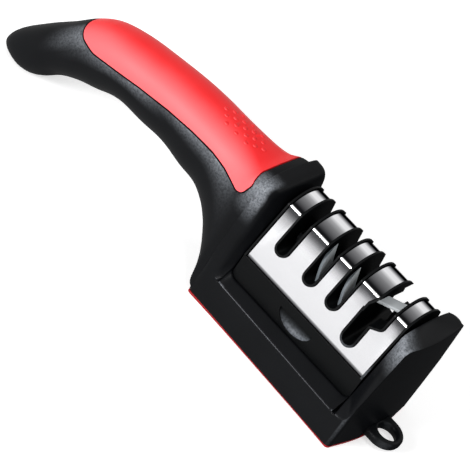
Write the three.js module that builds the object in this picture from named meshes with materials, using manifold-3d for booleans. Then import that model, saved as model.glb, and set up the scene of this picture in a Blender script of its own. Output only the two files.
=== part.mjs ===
// Hand-held knife and scissors sharpener: an arched handle, a cradle and a lift-out cartridge.
// Millimetres, +Z up. The origin is the centre of the foot's flat face. +X runs from the handle
// to the hanging loop, and -Y is the side that the slots are seen from.
import * as THREE from 'three';
import { mergeVertices } from 'three/addons/utils/BufferGeometryUtils.js';
import Module from 'manifold-3d';

const wasm = await Module();
wasm.setup();

// Overall sizes
const headLength = 82.4;
const headWidth = 50;
const handleReach = 130.2;
const handleHeight = 57.2;
const gap = 0.3;
const overrun = 2;

// Foot and base plate
const footThickness = 1.3;
const footInset = 0.8;
const plateThickness = 2.4;
const rimWall = 2.2;
const plateGap = 0.3;
const cornerRadius = 2.4;
const sideTaper = 1.9;
const frontBulge = 2.6;
const backBulge = 2.2;

// Cradle
const ridgeHeight = 14;
const ridgeFlare = 0.4;
const seamHeight = 17.3;
const floorHeight = 8.2;
const floorThickness = 2.2;
const collarTop = 57.5;
const collarTopWidth = 36.4;
const collarReach = 3.6;
const collarMouthTop = 50.5;
const collarMouthTopWidth = 26;
const collarMouthLean = 0.6;
const wallTop = 52.8;
const wallTopWidth = 38;
const wallMouthTop = 56;
const wallMouthTopWidth = 31;
const wallMouthArch = 1.6;
const wallMouthLean = 1.3;
const wallRidge = 6.9;
const wallSwell = 1.3;
const wallDraft = 0.4;
const collarCorner = 2.6;
const wallCorner = 3.4;
const topCorner = 5;
const mouthCorner = 3.6;
const loopRoot = 6.6;
const collarRidgeInsets = [5.7, 5.5, 4.4, 4.7];
const collarTurn = 2.9;
const wallTurn = 5.2;
const turnHeight = 3.2;
const cutDepth = 1;
const pilotDepth = 0.5;

// Hanging loop
const loopReach = 14;
const loopWidth = 16;
const loopThickness = 4;
const loopHole = 8;
const loopHoleReach = 7.4;
const loopHeight = 2.6;

// Cartridge
const cartridgeStart = 9.2;
const cartridgeLength = 65.5;
const cartridgeWidth = 37;
const cartridgeGap = 0.4;
const bandTop = 28.4;
const foldHeight = 53.7;
const foldWidth = 20.6;
const chromeWidth = 36;
const archRise = 3.7;
const sheet = 0.8;
const lip = 0.85;
const lipProud = 0.8;
const coreWall = 2.4;
const hollowTop = 28.9;
const bottomThickness = 2;
const notchWidth = 17;
const notchHeight = 6;
const notchDepth = 2.2;
const notchLift = 1;

// Slots, measured from the start of the cartridge
const slotWidth = 4.9;
const slotBottom = 38.1;
const slotCentres = [9.9, 25.2, 37.7];
const scissorSlotLeft = 48.6;
const scissorSlotWidth = 5.5;
const scissorSlotBottom = 33.1;
const scissorSkew = THREE.MathUtils.degToRad(4);
const scissorPocketWidth = 10;
const scissorPocketBottom = 34;
const scissorMouthLeft = 50.6;
const scissorMouthRight = 58.4;
const scissorStep = 46.4;
const scissorStepRise = 2.2;
const scissorRoof = 49.6;

// Abrasive plates and the scissor plate
const vAngle = THREE.MathUtils.degToRad(17);
const vHeight = 43;
const plateRadius = 11.2;
const abrasiveThickness = 1.2;
const abrasiveSplit = 9;
const carbideSplit = 0.6;
const carbideHeight = 7;
const carbideLength = 5;
const carbideThickness = 1.8;
const carbideVHeight = 40.4;
const scissorPlateLength = 15;
const scissorPlateWidth = 5.8;
const scissorPlateThickness = 1.1;
const scissorPlateHeight = 49.3;
const scissorPlatePlace = 53.2;
const scissorPlateTurn = THREE.MathUtils.degToRad(35);

// Handle
const handleWall = 2.6;
const coverWall = 2.4;
const grooveDepth = 1.3;
const groovePitch = 27;
const gripWidth = 27.6;

// Screws
const screwHead = 5.2;
const screwHeadHeight = 1.4;
const screwShank = 2.6;
const screwLength = 5.4;
const screwInsetX = 9;
const screwInsetY = 8.5;
const bossDiameter = 7;
const crossWidth = 0.8;
const crossLength = 3.2;
const crossDepth = 0.7;
const accessHole = 7;

// Shares: parts of a whole that no single length sets
const weldShare = 1e-5;
const cornerShare = 0.2;
const wallBulgeShare = 0.7;
const turnShares = [0.04, 0.14, 0.32, 0.6, 1];
const wallReachShare = 1.8;
const halfwayShare = 0.5;
const collarShoulderShare = 0.9;
const collarCrownShare = 0.68;
const archQuarterShare = 0.25;
const gripRoundness = 2.3;
const gripHollowShares = [0.2, 0.8];
const coverHollowShares = [0.06, 0.8];
const loopRoundShare = 0.96;
const scissorRoundShare = 0.46;
const slotRoundShare = 0.49;
const foldDropShare = 0.4;
const archDropShare = 0.6;
const stepRoundShare = 1.5;
const carbideChamferShare = 1 / 6;
const plateChamferShare = 0.4;
const screwSpreadShare = 1 / 3;

// How finely curves are cut into flat steps
const planSteps = 8;
const mouthSteps = 5;
const cornerSteps = 4;
const archSteps = 6;
const stoneSteps = 12;
const roundSteps = 20;
const holeSteps = 28;
const ballSteps = 24;
const gripRings = 40;
const gripSides = 9;
const hollowRings = 28;
const hollowSides = 7;

// Places worked out from the sizes
const back = -headLength / 2;
const front = headLength / 2;
const half = headWidth / 2;
const rimBottom = footThickness;
const ridgeHalf = half + ridgeFlare;
const cartridgeBack = back + cartridgeStart;
const cartridgeFront = cartridgeBack + cartridgeLength;
const cartridgeMiddle = (cartridgeBack + cartridgeFront) / 2;
const cartridgeHalf = cartridgeWidth / 2;
const cartridgeBottom = floorHeight + gap;
const pocketBack = cartridgeBack - cartridgeGap;
const pocketFront = cartridgeFront + cartridgeGap;
const pocketHalf = cartridgeHalf + cartridgeGap;
const mouthHalf = pocketHalf + gap;
const mouthLow = seamHeight + mouthCorner;
const topOfAll = handleHeight + overrun;
const sideLean = (chromeWidth - foldWidth) / 2 / (foldHeight - bandTop);
const endInset = lip + gap;
const chromeBack = cartridgeBack + endInset;
const chromeFront = cartridgeFront - endInset;

// Mesh to solid and back
function solid(geometry) {
  const bare = geometry.clone();
  bare.deleteAttribute('normal');
  bare.deleteAttribute('uv');
  const merged = mergeVertices(bare, weldShare * headWidth);
  return new wasm.Manifold(new wasm.Mesh({
    numProp: 3,
    vertProperties: new Float32Array(merged.attributes.position.array),
    triVerts: new Uint32Array(merged.index.array),
  }));
}

function geometryOf(body) {
  const mesh = body.getMesh();
  const geometry = new THREE.BufferGeometry();
  geometry.setAttribute('position', new THREE.BufferAttribute(new Float32Array(mesh.vertProperties), 3));
  geometry.setIndex(new THREE.BufferAttribute(new Uint32Array(mesh.triVerts), 1));
  return geometry;
}

// Prisms: an outline in the other two axes, extruded along one axis from a low to a high place
const prismBases = {
  x: [[0, 1, 0], [0, 0, 1], [1, 0, 0]],
  y: [[1, 0, 0], [0, 0, 1], [0, -1, 0]],
  z: [[1, 0, 0], [0, 1, 0], [0, 0, 1]],
};

function prism(axis, outline, low, high) {
  const shape = new THREE.Shape(outline.map(([a, b]) => new THREE.Vector2(a, b)));
  const geometry = new THREE.ExtrudeGeometry(shape, { depth: high - low, bevelEnabled: false });
  geometry.translate(0, 0, axis === 'y' ? -high : low);
  const [a, b, c] = prismBases[axis].map((v) => new THREE.Vector3(...v));
  geometry.applyMatrix4(new THREE.Matrix4().makeBasis(a, b, c));
  return solid(geometry);
}

function box(x0, x1, y0, y1, z0, z1) {
  return prism('z', [[x0, y0], [x1, y0], [x1, y1], [x0, y1]], z0, z1);
}

function cylinder(x, y, z0, z1, diameter, sides = roundSteps) {
  const geometry = new THREE.CylinderGeometry(diameter / 2, diameter / 2, z1 - z0, sides);
  geometry.rotateX(Math.PI / 2);
  geometry.translate(x, y, (z0 + z1) / 2);
  return solid(geometry);
}

// An outline with its corners rounded: each point is [a, b, radius]
function rounded(points, steps = 4) {
  const out = [];
  points.forEach(([a, b, radius = 0], i) => {
    const here = new THREE.Vector2(a, b);
    if (!radius) {
      out.push([a, b]);
      return;
    }
    const before = points[(i + points.length - 1) % points.length];
    const after = points[(i + 1) % points.length];
    const u = new THREE.Vector2(before[0] - a, before[1] - b).normalize();
    const v = new THREE.Vector2(after[0] - a, after[1] - b).normalize();
    const angle = Math.acos(THREE.MathUtils.clamp(u.dot(v), -1, 1));
    const reach = radius / Math.tan(angle / 2);
    const centre = here.clone().addScaledVector(u.clone().add(v).normalize(), radius / Math.sin(angle / 2));
    const start = here.clone().addScaledVector(u, reach).sub(centre);
    const turn = (Math.PI - angle) * Math.sign(u.x * v.y - u.y * v.x) * -1;
    for (let k = 0; k <= steps; k++) {
      const p = start.clone().rotateAround(new THREE.Vector2(), turn * k / steps).add(centre);
      out.push([p.x, p.y]);
    }
  });
  return out;
}

// An outline whose sides all move out by one distance, keeping each corner's own radius growing too
function grown(points, distance) {
  const area = points.reduce((sum, [a, b], i) => {
    const [c, d] = points[(i + 1) % points.length];
    return sum + a * d - b * c;
  }, 0);
  const sign = Math.sign(area);
  const normals = points.map(([a, b], i) => {
    const [c, d] = points[(i + 1) % points.length];
    const length = Math.hypot(c - a, d - b);
    return [sign * (d - b) / length, -sign * (c - a) / length];
  });
  return points.map(([a, b, radius = 0], i) => {
    const [n, m] = [normals[(i + points.length - 1) % points.length], normals[i]];
    const scale = distance / (1 + n[0] * m[0] + n[1] * m[1]);
    const turn = radius ? Math.max(radius + distance, 0) : 0;
    return [a + (n[0] + m[0]) * scale, b + (n[1] + m[1]) * scale, turn];
  });
}

// A closed body through rings of points, capped at both ends
function loft(rings) {
  const count = rings[0].length;
  const positions = rings.flat().flatMap((p) => [p.x, p.y, p.z]);
  const index = [];
  for (let r = 0; r + 1 < rings.length; r++) {
    for (let i = 0; i < count; i++) {
      const [a, b] = [r * count + i, r * count + (i + 1) % count];
      index.push(a, b, b + count, a, b + count, a + count);
    }
  }
  [0, rings.length - 1].forEach((r) => {
    const centre = rings[r].reduce((sum, p) => sum.add(p), new THREE.Vector3()).divideScalar(count);
    const middle = positions.length / 3;
    positions.push(centre.x, centre.y, centre.z);
    for (let i = 0; i < count; i++) {
      const [a, b] = [r * count + i, r * count + (i + 1) % count];
      index.push(...(r === 0 ? [middle, b, a] : [middle, a, b]));
    }
  });
  const geometry = new THREE.BufferGeometry();
  geometry.setAttribute('position', new THREE.Float32BufferAttribute(positions, 3));
  geometry.setIndex(index);
  return solid(geometry);
}

const yzRing = (x, outline) => outline.map(([y, z]) => new THREE.Vector3(x, y, z));
const mirrored = (outline) => [...outline, ...outline.slice().reverse().map(([a, b]) => [-a, b])];

// The head grows a little wider from its back to its front, outside the pocket
function tapered(x, y) {
  const share = THREE.MathUtils.clamp((Math.abs(y) - mouthHalf) / (half - mouthHalf), 0, 1);
  return y + Math.sign(y) * share * sideTaper * x / front;
}

// Head: the plan of its foot edge, with softly bowed ends
function plan(inset) {
  const steps = planSteps;
  const corner = Math.max(cornerRadius - inset, cornerShare * cornerRadius);
  const side = half - inset;
  const reach = [back + inset, front - inset];
  const points = [];
  const bow = (x, bulge, from, to) => {
    for (let k = 0; k <= steps; k++) {
      const t = from + (to - from) * k / steps;
      points.push([x + bulge * (1 - t * t), t * (side - corner)]);
    }
  };
  const turn = (x, y, startAngle) => {
    for (let k = 1; k < steps / 2; k++) {
      const angle = startAngle + Math.PI / 2 * k / (steps / 2);
      points.push([x + corner * Math.cos(angle), y + corner * Math.sin(angle)]);
    }
  };
  bow(reach[1], frontBulge, -1, 1);
  turn(reach[1] - corner, side - corner, 0);
  points.push([reach[1] - corner, side], [reach[0] + corner, side]);
  turn(reach[0] + corner, side - corner, Math.PI / 2);
  bow(reach[0], -backBulge, 1, -1);
  turn(reach[0] + corner, corner - side, Math.PI);
  points.push([reach[0] + corner, -side], [reach[1] - corner, -side]);
  turn(reach[1] - corner, corner - side, -Math.PI / 2);
  return points.map(([x, y]) => [x, tapered(x, y)]);
}

// Half sections of the cradle, from the foot edge up to the middle of the top
const footHalfSection = [[half, rimBottom], [ridgeHalf, ridgeHeight]];

// The collar and the end wall lean in from the ridge to a rounded top
function endHalfSection(lowHalf, low, top, topWidth, corner, arch = 0) {
  const lean = (lowHalf - topWidth / 2) / (top - low);
  const sideAt = (z) => lowHalf - lean * (z - low);
  const under = top - arch - corner;
  const side = sideAt(under);
  const turns = turnShares.map((share) => low + share * turnHeight);
  const heights = [...turns, bandTop, (bandTop + under) / 2, under];
  const points = heights.map((z) => [sideAt(z), z]);
  for (let k = 1; k <= cornerSteps; k++) {
    const angle = Math.PI / 2 * k / cornerSteps;
    points.push([side - corner * (1 - Math.cos(angle)), under + corner * Math.sin(angle)]);
  }
  points.push([(side - corner) / 2, top - arch * archQuarterShare]);
  return points;
}

const collarSection = mirrored([
  ...footHalfSection, ...endHalfSection(ridgeHalf, ridgeHeight, collarTop, collarTopWidth, collarCorner),
]);
const collarMouth = mirrored([
  ...footHalfSection,
  ...endHalfSection(mouthHalf, mouthLow, collarMouthTop, collarMouthTopWidth, topCorner),
]);
const wallSection = mirrored([
  ...footHalfSection, ...endHalfSection(ridgeHalf, ridgeHeight, wallTop, wallTopWidth, wallCorner),
]);
const wallMouth = mirrored([
  ...footHalfSection,
  ...endHalfSection(mouthHalf, mouthLow, wallMouthTop, wallMouthTopWidth, topCorner / 2, wallMouthArch),
]);

// Both ridges turn in a curve into the ridge of the low sides
function ridgeTurn(z, length) {
  const share = THREE.MathUtils.clamp(1 - (z - ridgeHeight) / turnHeight, 0, 1);
  return length * (1 - Math.sqrt(1 - share * share));
}

// How far the collar's ridge stands in from the head's back edge, by height
const collarRidgePlaces = [ridgeHeight, seamHeight, bandTop, collarTop]
  .map((height, i) => [height, collarRidgeInsets[i]]);

function collarRidge(z) {
  const i = Math.max(1, collarRidgePlaces.findIndex(([height]) => height >= z));
  const [[z0, x0], [z1, x1]] = [collarRidgePlaces[i - 1], collarRidgePlaces[i]];
  return x0 + (x1 - x0) * THREE.MathUtils.clamp((z - z0) / (z1 - z0), 0, 1) + ridgeTurn(z, collarTurn);
}

function leanRing(outline, xAt) {
  return outline.map(([y, z]) => new THREE.Vector3(xAt(z), y, z));
}

// The low sides, whose upper edge curves up into the collar and the end wall
function lowRing(x, rise) {
  return yzRing(x, mirrored([...footHalfSection, [pocketHalf, seamHeight + rise]]));
}

function lowSides() {
  const rings = [];
  for (let k = 0; k <= mouthSteps; k++) {
    const angle = Math.PI / 2 * k / mouthSteps;
    rings.push([mouthCorner * (1 - Math.sin(angle)), mouthCorner * (1 - Math.cos(angle))]);
  }
  return loft([
    ...rings.slice().reverse().map(([along, rise]) => lowRing(pocketBack + along, rise)),
    ...rings.map(([along, rise]) => lowRing(pocketFront - along, rise)),
  ]);
}

function cradleBlock() {
  const climb = (z) => THREE.MathUtils.clamp((z - seamHeight) / (wallMouthTop - seamHeight), 0, 1);
  const mouthRing = leanRing(wallMouth, (z) => pocketFront + wallMouthLean * climb(z));
  const ridgeRing = leanRing(wallSection, (z) => pocketFront + wallRidge - ridgeTurn(z, wallTurn));
  const swollen = mouthRing.map((p, i) => {
    const middle = p.clone().lerp(ridgeRing[i], halfwayShare);
    return middle.setY(middle.y + Math.sign(middle.y) * wallSwell * climb(p.z));
  });
  const beyond = mouthRing.map((p, i) => {
    const straight = ridgeRing[i].clone().setX(pocketFront + wallRidge * wallReachShare);
    return p.clone().lerp(ridgeRing[i], wallReachShare).lerp(straight, ridgeTurn(ridgeRing[i].z, 1));
  });
  const wall = loft([mouthRing, swollen, ridgeRing, beyond]);
  const collar = loft([
    leanRing(collarSection, (z) => back - collarReach * THREE.MathUtils.smoothstep(z, bandTop, wallTop)),
    leanRing(collarSection, (z) => back + collarRidge(z)),
    leanRing(collarMouth, (z) => pocketBack - collarMouthLean * climb(z)),
  ]);
  const outerRing = (z, draft, bulge) => plan(0).map(([x, y]) => new THREE.Vector3(
    x > front ? front + (x - front) * bulge - draft : x - (x > 0 ? draft : 0), y, z));
  const outer = loft([
    outerRing(rimBottom, 0, 1), outerRing(ridgeHeight, 0, 1), outerRing(topOfAll, wallDraft, wallBulgeShare),
  ]);
  const skirt = prism('z', plan(0), rimBottom, ridgeHeight);
  const body = wall.add(collar).add(lowSides()).warp((point) => {
    point[1] = tapered(point[0], point[1]);
  });
  return body.intersect(outer).add(skirt);
}

// Handle ribs: underside [x, z], top [x, z], half width and how square the rib is, all as shares.
// x is a share of the handle's reach behind the head, z of its height, width of the grip's width.
const ribShares = [
  [-0.0199, 0.028, -0.0269, 0.982, 1.66, 1],
  [0.008, 0.067, 0.006, 0.988, 1.66, 1],
  [0.0278, 0.179, 0.0418, 0.98, 1.6, 0.92],
  [0.0726, 0.252, 0.0746, 0.962, 1.42, 0.6],
  [0.1154, 0.321, 0.1144, 0.966, 1.25, 0.35],
  [0.1611, 0.382, 0.1611, 0.973, 1.12, 0.15],
  [0.2188, 0.427, 0.2188, 0.976, 1.04, 0],
  [0.3083, 0.432, 0.3133, 0.972, 1.015, 0],
  [0.4078, 0.455, 0.4167, 0.951, 0.99, 0],
  [0.4973, 0.44, 0.5262, 0.912, 0.97, 0],
  [0.5709, 0.406, 0.6326, 0.864, 0.955, 0],
  [0.6296, 0.36, 0.7241, 0.794, 0.93, 0],
  [0.6803, 0.312, 0.7867, 0.688, 0.88, 0],
  [0.7291, 0.239, 0.8434, 0.54, 0.83, 0],
  [0.7768, 0.154, 0.8962, 0.412, 0.79, 0],
  [0.8186, 0.078, 0.9389, 0.3, 0.75, 0],
  [0.8524, 0.026, 0.9698, 0.215, 0.69, 0],
  [0.8842, 0.002, 0.9887, 0.146, 0.6, 0],
  [0.9151, 0, 0.9976, 0.088, 0.46, 0],
  [0.9449, 0.004, 0.9996, 0.046, 0.26, 0],
];

// Where each groove's bottom lies, as a share of the reach, and where the grooved stretch ends
const grooveShare = 0.345;
const grooveStretchShares = [0.2, 0.86];

function ribAt(t) {
  const place = t * (ribShares.length - 1);
  const i = Math.min(Math.floor(place), ribShares.length - 2);
  const at = (k, column) => ribShares[THREE.MathUtils.clamp(k, 0, ribShares.length - 1)][column];
  const f = place - i;
  return ribShares[0].map((_, column) => {
    const [p, q, r, s] = [at(i - 1, column), at(i, column), at(i + 1, column), at(i + 2, column)];
    const [m, n] = [(r - p) / 2, (s - q) / 2];
    const [f2, f3] = [f * f, f * f * f];
    return (2 * f3 - 3 * f2 + 1) * q + (f3 - 2 * f2 + f) * m + (3 * f2 - 2 * f3) * r + (f3 - f2) * n;
  });
}

function grooveAt(x) {
  const [from, to] = grooveStretchShares.map((share) => share * handleReach);
  const fade = THREE.MathUtils.smoothstep(x, from, from + groovePitch / 2)
    * (1 - THREE.MathUtils.smoothstep(x, to - groovePitch / 2, to));
  return grooveDepth * fade * (1 + Math.cos(2 * Math.PI * (x - grooveShare * handleReach) / groovePitch)) / 2;
}

// One rib of the handle as a ring, with its outline drawn in by a wall
function ribRing(t, wall, sides) {
  const [ux, uz, tx, tz, width, square] = ribAt(t);
  const under = new THREE.Vector3(back - ux * handleReach, 0, Math.max(uz, 0) * handleHeight);
  const top = new THREE.Vector3(back - tx * handleReach, 0, tz * handleHeight);
  const rise = top.clone().sub(under).normalize();
  under.addScaledVector(rise, wall + grooveAt(ux * handleReach));
  top.addScaledVector(rise, -wall);
  const halfWidth = width * gripWidth / 2 - wall;
  const topRatio = collarTopWidth / headWidth;
  const right = [];
  for (let k = 0; k <= sides; k++) {
    const u = (1 - Math.cos(Math.PI * k / sides)) / 2;
    const round = (1 - Math.abs(2 * u - 1) ** gripRoundness) ** (1 / gripRoundness);
    const past = Math.max((u - collarShoulderShare) / (1 - collarShoulderShare), 0);
    const crown = collarCrownShare + (1 - collarCrownShare) * Math.sqrt(Math.max(1 - past ** 2, 0));
    const straight = u === 1 ? 0 : (1 + (topRatio - 1) * u) * crown;
    const share = square * (u === 0 ? 0 : straight) + (1 - square) * round;
    right.push(under.clone().lerp(top, u).setY(halfWidth * share));
  }
  const left = right.slice(1, -1).reverse().map((p) => p.clone().setY(-p.y));
  return [...right, ...left];
}

function handleBody(wall, [from, to], count, sides) {
  const rings = [];
  for (let k = 0; k <= count; k++) {
    rings.push(ribRing(from + (to - from) * k / count, wall, sides));
  }
  return loft(rings.reverse());
}

const grip = () => handleBody(0, [0, 1], gripRings, gripSides);

// The parting line between the black shell and the red cover, seen from the side: shares of the
// handle's reach and height, from above the front end, along the grip, and up at the collar
const seamShares = [
  [0.862, 0.9], [0.818, 0.74, 0.04], [0.762, 0.636, 0.07], [0.69, 0.632, 0.06], [0.62, 0.668],
  [0.5, 0.728], [0.385, 0.775], [0.29, 0.798], [0.2, 0.806], [0.14, 0.797], [0.1, 0.782],
  [0.046, 0.764, 0.034], [0.03, 0.9, 0.03], [0.044, 0.985], [0.046, 1.1],
];

function coverZone() {
  const scaled = seamShares.map(([a, b, r = 0]) => (
    [back - a * handleReach, b * handleHeight, r * handleReach]));
  const above = handleHeight + overrun;
  return [[scaled[0][0], above], ...scaled.slice(0, -1), [scaled.at(-1)[0], above]];
}

function seamCut(inset) {
  return prism('y', rounded(grown(coverZone(), -inset)), -half, half);
}

// Screw places under the head
const screwPlaces = [-1, 1].flatMap((sx) => [-1, 1].map((sy) => [
  sx * (headLength / 2 - screwInsetX), sy * (half - screwInsetY),
]));

function loopPlan(grow) {
  const outer = front + loopReach;
  const side = loopWidth / 2 + grow;
  return rounded([
    [front - loopRoot, -side], [outer + grow, -side, side * loopRoundShare],
    [outer + grow, side, side * loopRoundShare], [front - loopRoot, side],
  ], planSteps);
}

// Sub-parts
function housing() {
  const recessTop = floorHeight - floorThickness;
  const bossBottom = rimBottom + plateThickness + gap;
  const bosses = screwPlaces.map(([x, y]) => cylinder(x, y, bossBottom, recessTop + cutDepth, bossDiameter));
  const recess = bosses.reduce((rest, boss) => rest.subtract(boss),
    prism('z', plan(rimWall), rimBottom - overrun, recessTop));
  const pocket = box(pocketBack, pocketFront, -pocketHalf, pocketHalf, floorHeight, topOfAll + overrun);
  const loopWay = prism('z', loopPlan(plateGap), rimBottom - overrun, loopHeight + loopThickness + gap);
  const pilotTop = floorHeight - pilotDepth;
  const pilots = screwPlaces.map(([x, y]) => cylinder(x, y, rimBottom, pilotTop, screwShank + gap));
  const hollow = handleBody(handleWall, gripHollowShares, hollowRings, hollowSides);
  const body = cradleBlock().add(grip());
  return [seamCut(0), hollow, recess, pocket, loopWay, ...pilots]
    .reduce((rest, cut) => rest.subtract(cut), body);
}

function gripCover() {
  const hollow = handleBody(coverWall, coverHollowShares, hollowRings, hollowSides);
  return grip().intersect(seamCut(gap)).subtract(hollow);
}

function basePlate() {
  const low = rimBottom;
  const plate = prism('z', plan(rimWall + plateGap), low, low + plateThickness);
  const tongue = prism('z', loopPlan(0), loopHeight, loopHeight + loopThickness);
  const step = box(front - loopRoot, front - rimWall - plateGap, -loopWidth / 2, loopWidth / 2, low,
    loopHeight + loopThickness);
  const hole = cylinder(front + loopHoleReach, 0, 0, topOfAll, loopHole, holeSteps);
  const holes = screwPlaces.flatMap(([x, y]) => [
    cylinder(x, y, 0, topOfAll, screwShank + gap * 2),
    cylinder(x, y, 0, low + screwHeadHeight, screwHead + gap * 2),
  ]);
  return [hole, ...holes].reduce((rest, cut) => rest.subtract(cut), plate.add(step).add(tongue));
}

function footPad() {
  const pad = prism('z', plan(footInset), 0, rimBottom - gap);
  return screwPlaces.map(([x, y]) => cylinder(x, y, -overrun, topOfAll, accessHole))
    .reduce((rest, cut) => rest.subtract(cut), pad);
}

function screw(x, y, headBottom, up = 1) {
  const at = (z) => headBottom + up * z;
  const order = (a, b) => [Math.min(a, b), Math.max(a, b)];
  const head = cylinder(x, y, ...order(at(0), at(screwHeadHeight - gap)), screwHead);
  const shank = cylinder(x, y, ...order(at(0), at(screwLength)), screwShank - gap);
  const [low, high] = order(at(-overrun), at(crossDepth));
  const cross = [[crossLength, crossWidth], [crossWidth, crossLength]].map(([a, b]) => box(
    x - a / 2, x + a / 2, y - b / 2, y + b / 2, low, high));
  return cross.reduce((rest, cut) => rest.subtract(cut), head.add(shank));
}

// Cartridge sections: the folded cover's outline, drawn in by a distance
function coverSection(inset, low) {
  const arch = [];
  const foldHalf = foldWidth / 2 - inset;
  const fold = foldHeight - inset * foldDropShare;
  const rise = archRise - inset * archDropShare;
  for (let k = 0; k <= archSteps; k++) {
    const t = 1 - 2 * k / archSteps;
    arch.push([foldHalf * t, fold + rise * (1 - t * t)]);
  }
  const side = foldHalf + sideLean * (fold - low);
  return [[side, low], ...arch, [-side, low]];
}

function scissorMouthOutline() {
  const at = (u) => cartridgeBack + u;
  const low = scissorStep - scissorStepRise;
  return [
    [at(scissorMouthLeft), topOfAll], [at(scissorMouthLeft), foldHeight],
    [at(scissorSlotLeft), scissorRoof, lip], [at(scissorSlotLeft), low],
    [at(scissorSlotLeft + scissorSlotWidth), low],
    [at(scissorMouthRight), scissorStep, lip * stepRoundShare], [at(scissorMouthRight), topOfAll],
  ];
}

function scissorSlotOutline() {
  const [left, right] = [0, scissorSlotWidth].map((u) => cartridgeBack + scissorSlotLeft + u);
  const radius = scissorSlotWidth * scissorRoundShare;
  return [
    [left, scissorStep], [left, scissorSlotBottom, radius], [right, scissorSlotBottom, radius],
    [right, scissorStep],
  ];
}

function slotOutline(centre) {
  const [left, right] = [-1, 1].map((s) => cartridgeBack + centre + s * slotWidth / 2);
  const radius = slotWidth * slotRoundShare;
  return [[left, topOfAll], [left, slotBottom, radius], [right, slotBottom, radius], [right, topOfAll]];
}

function slotCut(outline, grow) {
  const wide = grown(outline, grow).map(([a, b, r]) => [a, b >= topOfAll ? topOfAll + overrun : b, r]);
  return prism('y', rounded(wide, archSteps), -half, half);
}

// The scissor slot's narrow part runs a little askew from its mouth on the front side
function skewed(body) {
  const k = Math.tan(scissorSkew);
  const shear = new THREE.Matrix4().makeShear(0, 0, -k, 0, 0, 0).setPosition(-k * chromeWidth / 2, 0, 0);
  return body.transform(shear.elements);
}

function slotCuts(grow) {
  return [
    ...slotCentres.map((centre) => slotCut(slotOutline(centre), grow)),
    slotCut(scissorMouthOutline(), grow),
    skewed(slotCut(scissorSlotOutline(), grow)),
  ];
}

// The abrasive plates stand in pairs, front and rear, and cross in a V inside their slot
function tilted(body, centreX, height, side) {
  const turn = new THREE.Matrix4().makeTranslation(centreX, 0, height)
    .multiply(new THREE.Matrix4().makeRotationY(side * vAngle));
  return body.transform(turn.elements);
}

function abrasiveOutline(side, grow) {
  const low = (hollowTop - vHeight + gap) / Math.cos(vAngle) - grow * overrun / gap;
  const [inner, outer] = [abrasiveSplit / 2 - grow, plateRadius + grow];
  const start = Math.acos(inner / outer);
  const points = [];
  for (let k = 0; k <= stoneSteps; k++) {
    const angle = start * (1 - k / stoneSteps);
    points.push([side * outer * Math.cos(angle), outer * Math.sin(angle)]);
  }
  points.push([side * outer, low], [side * inner, low]);
  return side > 0 ? points.reverse() : points;
}

function abrasivePlate(slot, side, grow = 0) {
  const t = abrasiveThickness / 2 + grow;
  const flat = prism('x', abrasiveOutline(side, grow), -t, t);
  return tilted(flat, cartridgeBack + slotCentres[slot], vHeight, side);
}

function carbideBlade(side, grow = 0) {
  const t = carbideThickness / 2 + grow;
  const [inner, outer] = [carbideSplit / 2 - grow, carbideSplit / 2 + carbideLength + grow];
  const tall = carbideHeight / 2 + grow;
  const chamfer = carbideHeight * carbideChamferShare;
  const outline = [
    [inner, -tall], [outer, -tall], [outer, tall - chamfer], [outer - chamfer, tall], [inner, tall],
  ];
  const flat = prism('x', side > 0 ? outline : outline.map(([y, z]) => [-y, z]).reverse(), -t, t);
  return tilted(flat, cartridgeBack + slotCentres[0], carbideVHeight, side);
}

function scissorPlate(grow = 0) {
  const [a, b] = [scissorPlateLength / 2 + grow, scissorPlateWidth / 2 + grow];
  const t = scissorPlateThickness / 2 + grow;
  const chamfer = scissorPlateThickness * plateChamferShare;
  const outline = [
    [-b, -t], [b, -t], [b, t - chamfer], [b - chamfer, t], [chamfer - b, t], [-b, t - chamfer],
  ];
  const turn = new THREE.Matrix4().makeTranslation(cartridgeBack + scissorPlatePlace, 0, scissorPlateHeight)
    .multiply(new THREE.Matrix4().makeRotationZ(scissorPlateTurn));
  return prism('x', outline, -a, a).transform(turn.elements);
}

const cartridgeScrews = [-1, 1].map((s) => [cartridgeMiddle + s * cartridgeLength * screwSpreadShare, 0]);
const hollowBack = cartridgeBack + coreWall;
const hollowFront = cartridgeFront - coreWall;
const hollowHalf = cartridgeHalf - coreWall;
const bottomTop = cartridgeBottom + bottomThickness;

function cartridgeCore() {
  const band = box(cartridgeBack, cartridgeFront, -cartridgeHalf, cartridgeHalf, cartridgeBottom, bandTop);
  const inner = prism('x', coverSection(sheet + gap, bandTop - overrun), cartridgeBack, cartridgeFront);
  const proud = prism('x', coverSection(-lipProud, bandTop), cartridgeBack, cartridgeFront);
  const ends = [
    [cartridgeBack - overrun, cartridgeBack + lip], [cartridgeFront - lip, cartridgeFront + overrun],
  ].map(([a, b]) => box(a, b, -half, half, bandTop, topOfAll));
  const lips = [...slotCuts(lip), ...ends].reduce((sum, one) => sum.add(one))
    .intersect(proud);
  const hollow = box(hollowBack, hollowFront, -hollowHalf, hollowHalf, cartridgeBottom - overrun, hollowTop);
  const bosses = cartridgeScrews.map(([x, y]) => cylinder(x, y, bottomTop + gap, topOfAll, bossDiameter));
  const pilots = cartridgeScrews.map(([x, y]) => cylinder(x, y, 0, cartridgeBottom + screwLength + overrun,
    screwShank + gap));
  const stones = [1, 2].flatMap((slot) => [-1, 1].map((side) => abrasivePlate(slot, side, gap)));
  const blades = [-1, 1].map((side) => carbideBlade(side, gap));
  const scissorPocket = box(cartridgeBack + scissorSlotLeft, cartridgeBack + scissorMouthRight,
    -scissorPocketWidth / 2, scissorPocketWidth / 2, scissorPocketBottom, scissorRoof);
  const cuts = [...slotCuts(0), scissorPocket, ...stones, ...blades, scissorPlate(gap),
    bosses.reduce((rest, boss) => rest.subtract(boss), hollow), ...pilots, nailNotch(-1), nailNotch(1)];
  return cuts.reduce((rest, cut) => rest.subtract(cut), band.add(inner).add(lips));
}

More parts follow.
